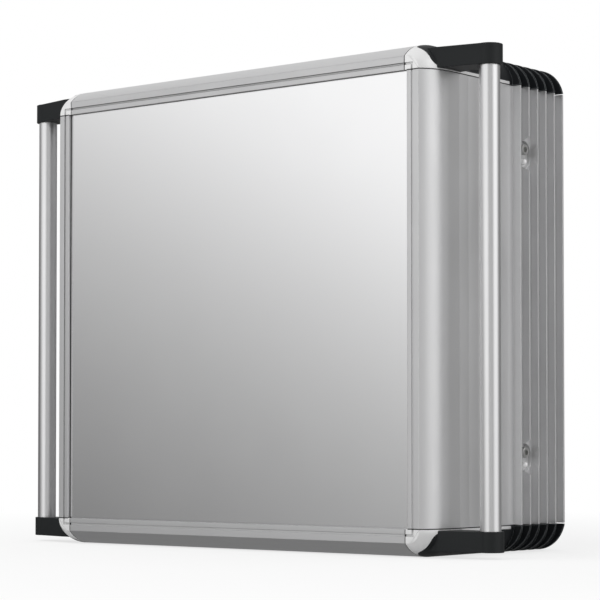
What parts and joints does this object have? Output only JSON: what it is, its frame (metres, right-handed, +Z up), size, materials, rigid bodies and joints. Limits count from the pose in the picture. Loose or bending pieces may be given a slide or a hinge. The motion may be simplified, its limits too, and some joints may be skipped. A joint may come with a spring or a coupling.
{
  "type": "console enclosure",
  "caption": "Aluminium operator console housing with a framed front plate, black ribbed corners, tube handles on both sides, cooling fins and a hinged rear door with quarter-turn latches.",
  "frame": {"origin": "below the middle of the enclosure's outer box, on the surface it stands on", "axes": "+X to the enclosure's right seen from the front, +Y to the back, +Z up"},
  "size_m": [0.561, 0.2004, 0.445],
  "materials": {
    "anodised_profile": "satin anodised extrusion",
    "silver_casting": "smooth light silver paint on a die casting",
    "black_plastic": "fine matt moulded plastic",
    "satin_tube": "satin anodised drawn tube",
    "brushed_plate": "fine satin sheet",
    "plain_steel": "plain machined steel",
    "bright_pin": "polished",
    "zinc_sheet": "zinc-plated sheet steel",
    "seal_rubber": "matt foam rubber"
  },
  "bodies": {
    "frame": {"side_profile_right": "anodised_profile", "side_profile_left": "anodised_profile", "top_profile": "anodised_profile", "bottom_profile": "anodised_profile", "corner_top_right": "silver_casting", "corner_top_left": "silver_casting", "corner_bottom_right": "silver_casting", "corner_bottom_left": "silver_casting", "rib_cap_top_right": "black_plastic", "rib_cap_top_left": "black_plastic", "rib_cap_bottom_right": "black_plastic", "rib_cap_bottom_left": "black_plastic", "handle_bracket_top_right": "black_plastic", "handle_bracket_top_left": "black_plastic", "handle_bracket_bottom_right": "black_plastic", "handle_bracket_bottom_left": "black_plastic", "handle_tube_right": "satin_tube", "handle_tube_left": "satin_tube", "tube_plugs": "plain_steel", "handle_screws": "plain_steel", "corner_seals": "seal_rubber", "corner_screws": "plain_steel", "front_plate": "brushed_plate", "front_seal": "seal_rubber", "plate_clamps": "anodised_profile", "clamp_screws": "plain_steel", "mounting_rail_right": "zinc_sheet", "mounting_rail_left": "zinc_sheet", "rail_screws": "plain_steel", "rail_nuts": "plain_steel", "locating_pins": "bright_pin", "door_seal": "seal_rubber", "hinge_pins": "plain_steel"},
    "rear_door": {"rear_door": "brushed_plate", "latch_nuts": "zinc_sheet", "latch_housing_lower": "bright_pin", "latch_housing_upper": "bright_pin"},
    "latch_lower": {"latch_spindle_lower": "plain_steel", "latch_cam_lower": "zinc_sheet", "cam_screw_lower": "plain_steel"},
    "latch_upper": {"latch_spindle_upper": "plain_steel", "latch_cam_upper": "zinc_sheet", "cam_screw_upper": "plain_steel"}
  },
  "joints": [
    {"name": "door_hinge", "type": "hinge", "parent": "frame", "child": "rear_door", "pos_m": [-0.219, 0.09575, 0.2225], "axis": [0, 0, 1], "range_deg": [0, 110]},
    {"name": "latch_lower_turn", "type": "hinge", "parent": "rear_door", "child": "latch_lower", "pos_m": [0.2005, 0.09, 0.1125], "axis": [0, -1, 0], "range_deg": [0, 90]},
    {"name": "latch_upper_turn", "type": "hinge", "parent": "rear_door", "child": "latch_upper", "pos_m": [0.2005, 0.09, 0.3325], "axis": [0, -1, 0], "range_deg": [0, 90]}
  ]
}
